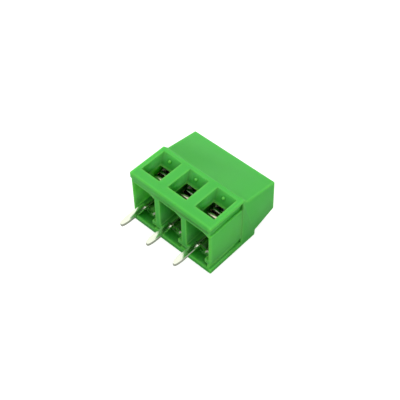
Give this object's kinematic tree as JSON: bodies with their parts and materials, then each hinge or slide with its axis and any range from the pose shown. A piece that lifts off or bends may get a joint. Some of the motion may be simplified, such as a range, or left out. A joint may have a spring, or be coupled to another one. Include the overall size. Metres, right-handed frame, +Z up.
{
  "type": "pcb screw terminal",
  "caption": "Green moulded terminal block for circuit boards: wire funnels in front, screw wells on top, and rising clamp cages over a row of solder pins.",
  "frame": {"origin": "board plane at the middle solder pin: the middle of the row of pins, where they enter the board", "axes": "+X along the row of poles, +Y from the wire entries to the rear, +Z up from the board; the pins point to -Z"},
  "size_m": [0.0152, 0.0101, 0.0184],
  "materials": {
    "housing_green": "moulded polyamide, satin gloss, slightly translucent",
    "screw_steel": "zinc plated",
    "cage_nickel": "nickel plated, folded strip",
    "contact_tin": "bright tin plate over a stamped brass strip"
  },
  "bodies": {
    "housing": {"housing": "housing_green", "solder_contact_1": "contact_tin", "solder_contact_2": "contact_tin", "solder_contact_3": "contact_tin"},
    "clamp_screw_1": {"clamp_screw_1": "screw_steel"},
    "clamp_cage_1": {"clamp_cage_1": "cage_nickel"},
    "clamp_screw_2": {"clamp_screw_2": "screw_steel"},
    "clamp_cage_2": {"clamp_cage_2": "cage_nickel"},
    "clamp_screw_3": {"clamp_screw_3": "screw_steel"},
    "clamp_cage_3": {"clamp_cage_3": "cage_nickel"}
  },
  "joints": [
    {"name": "screw_turn_1", "type": "hinge", "parent": "housing", "child": "clamp_screw_1", "pos_m": [-0.00508, -0.00063, 0.0095], "axis": [0, 0, -1], "range_deg": [-1800, 0]},
    {"name": "cage_lift_1", "type": "slide", "parent": "housing", "child": "clamp_cage_1", "axis": [0, 0, 1], "range_m": [-0.00225, 0]},
    {"name": "screw_turn_2", "type": "hinge", "parent": "housing", "child": "clamp_screw_2", "pos_m": [0, -0.00063, 0.0095], "axis": [0, 0, -1], "range_deg": [-1800, 0]},
    {"name": "cage_lift_2", "type": "slide", "parent": "housing", "child": "clamp_cage_2", "axis": [0, 0, 1], "range_m": [-0.00225, 0]},
    {"name": "screw_turn_3", "type": "hinge", "parent": "housing", "child": "clamp_screw_3", "pos_m": [0.00508, -0.00063, 0.0095], "axis": [0, 0, -1], "range_deg": [-1800, 0]},
    {"name": "cage_lift_3", "type": "slide", "parent": "housing", "child": "clamp_cage_3", "axis": [0, 0, 1], "range_m": [-0.00225, 0]}
  ],
  "couplings": [
    {"joint": "screw_turn_1", "follows": "cage_lift_1", "rad_per_m": 13963},
    {"joint": "screw_turn_2", "follows": "cage_lift_2", "rad_per_m": 13963},
    {"joint": "screw_turn_3", "follows": "cage_lift_3", "rad_per_m": 13963}
  ]
}
